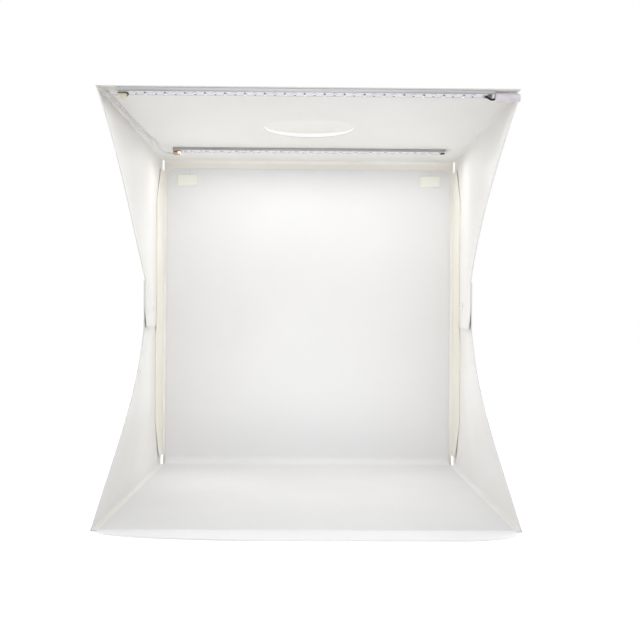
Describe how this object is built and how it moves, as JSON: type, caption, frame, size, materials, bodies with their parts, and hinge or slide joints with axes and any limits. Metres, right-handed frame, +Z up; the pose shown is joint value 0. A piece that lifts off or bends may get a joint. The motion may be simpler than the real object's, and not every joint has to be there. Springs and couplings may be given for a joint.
{
  "type": "folding light tent",
  "caption": "Folding white light box with an open front, lapped side flaps held by snaps, a shooting window in the top, light bars under the top and a hung backdrop.",
  "frame": {"origin": "middle of the floor panel's underside, on the surface that the box stands on", "axes": "+Z up, the open front faces -Y, +X to the right seen from the front"},
  "size_m": [0.4, 0.4353, 0.4189],
  "materials": {
    "sheet": "satin white sheet, softly translucent",
    "backdrop": "matte white flexible sheet",
    "hook_and_loop": "short white pile",
    "stud_plastic": "glossy white",
    "bar_metal": "satin anodised",
    "board": "white solder mask",
    "tape": "foam adhesive tape",
    "brass_contact": "worn",
    "amber_plastic": "amber brown",
    "dark_plastic": "matte black",
    "cable_jacket": "grey translucent jacket",
    "lead_jacket": "black jacket",
    "socket_plastic": "moulded, pale",
    "contact_metal": "nickel plated",
    "snap_metal": "nickel plated"
  },
  "bodies": {
    "floor": {"floor_panel": "sheet", "backdrop_floor": "backdrop"},
    "lip": {"front_lip": "sheet"},
    "back": {"back_panel": "sheet", "backdrop_wall": "backdrop", "backdrop_patch_left": "hook_and_loop", "backdrop_patch_right": "hook_and_loop", "backdrop_stud_left": "stud_plastic", "backdrop_stud_right": "stud_plastic"},
    "flange_left": {"back_flange_left": "sheet"},
    "flange_right": {"back_flange_right": "sheet"},
    "top": {"top_panel": "sheet", "front_bar_channel": "bar_metal", "front_bar_board": "board", "front_bar_tape": "tape", "front_bar_connector": "brass_contact", "rear_bar_channel": "bar_metal", "rear_bar_board": "board", "rear_bar_tape": "tape", "rear_bar_connector": "amber_plastic", "rear_bar_end_tab": "dark_plastic", "link_cable": "cable_jacket", "socket_lead_front": "lead_jacket", "socket_lead_rear": "lead_jacket", "socket_shell": "socket_plastic", "socket_sleeve": "contact_metal", "socket_pin": "contact_metal"},
    "window": {"window_cover": "sheet"},
    "upper_left": {"upper_flap_left": "sheet", "snap_cap_left": "snap_metal", "snap_socket_left": "snap_metal"},
    "lower_left": {"lower_flap_left": "sheet", "snap_stud_left": "snap_metal", "snap_rivet_left": "snap_metal"},
    "upper_right": {"upper_flap_right": "sheet", "snap_cap_right": "snap_metal", "snap_socket_right": "snap_metal"},
    "lower_right": {"lower_flap_right": "sheet", "snap_stud_right": "snap_metal", "snap_rivet_right": "snap_metal"}
  },
  "joints": [
    {"name": "back_fold", "type": "hinge", "parent": "floor", "child": "back", "pos_m": [0, 0.2, 0], "axis": [-1, 0, 0], "range_deg": [0, 90]},
    {"name": "top_fold", "type": "hinge", "parent": "back", "child": "top", "pos_m": [0, 0.199, 0.413], "axis": [-1, 0, 0], "range_deg": [0, 90]},
    {"name": "lip_fold", "type": "hinge", "parent": "floor", "child": "lip", "pos_m": [0, -0.2, 0.001], "axis": [-1, 0, 0], "range_deg": [0, 90]},
    {"name": "window_hinge", "type": "hinge", "parent": "top", "child": "window", "pos_m": [0, -0.05386, 0.414], "axis": [1, 0, 0], "range_deg": [-3, 170]},
    {"name": "upper_fold_left", "type": "hinge", "parent": "top", "child": "upper_left", "pos_m": [-0.2, 0, 0.414], "axis": [0, 1, 0], "range_deg": [0, 54]},
    {"name": "lower_fold_left", "type": "hinge", "parent": "floor", "child": "lower_left", "pos_m": [-0.2, 0, 0], "axis": [0, -1, 0], "range_deg": [0, 90]},
    {"name": "flange_fold_left", "type": "hinge", "parent": "back", "child": "flange_left", "pos_m": [-0.1961, 0.1972, 0.2], "axis": [0, 0, 1], "range_deg": [0, 85]},
    {"name": "upper_fold_right", "type": "hinge", "parent": "top", "child": "upper_right", "pos_m": [0.2, 0, 0.414], "axis": [0, -1, 0], "range_deg": [0, 54]},
    {"name": "lower_fold_right", "type": "hinge", "parent": "floor", "child": "lower_right", "pos_m": [0.2, 0, 0], "axis": [0, 1, 0], "range_deg": [0, 90]},
    {"name": "flange_fold_right", "type": "hinge", "parent": "back", "child": "flange_right", "pos_m": [0.1961, 0.1972, 0.2], "axis": [0, 0, -1], "range_deg": [0, 85]}
  ],
  "couplings": [
    {"joint": "lower_fold_left", "follows": "top_fold", "ratio": 1},
    {"joint": "upper_fold_left", "follows": "top_fold", "ratio": 0.6},
    {"joint": "lower_fold_right", "follows": "top_fold", "ratio": 1},
    {"joint": "upper_fold_right", "follows": "top_fold", "ratio": 0.6}
  ]
}
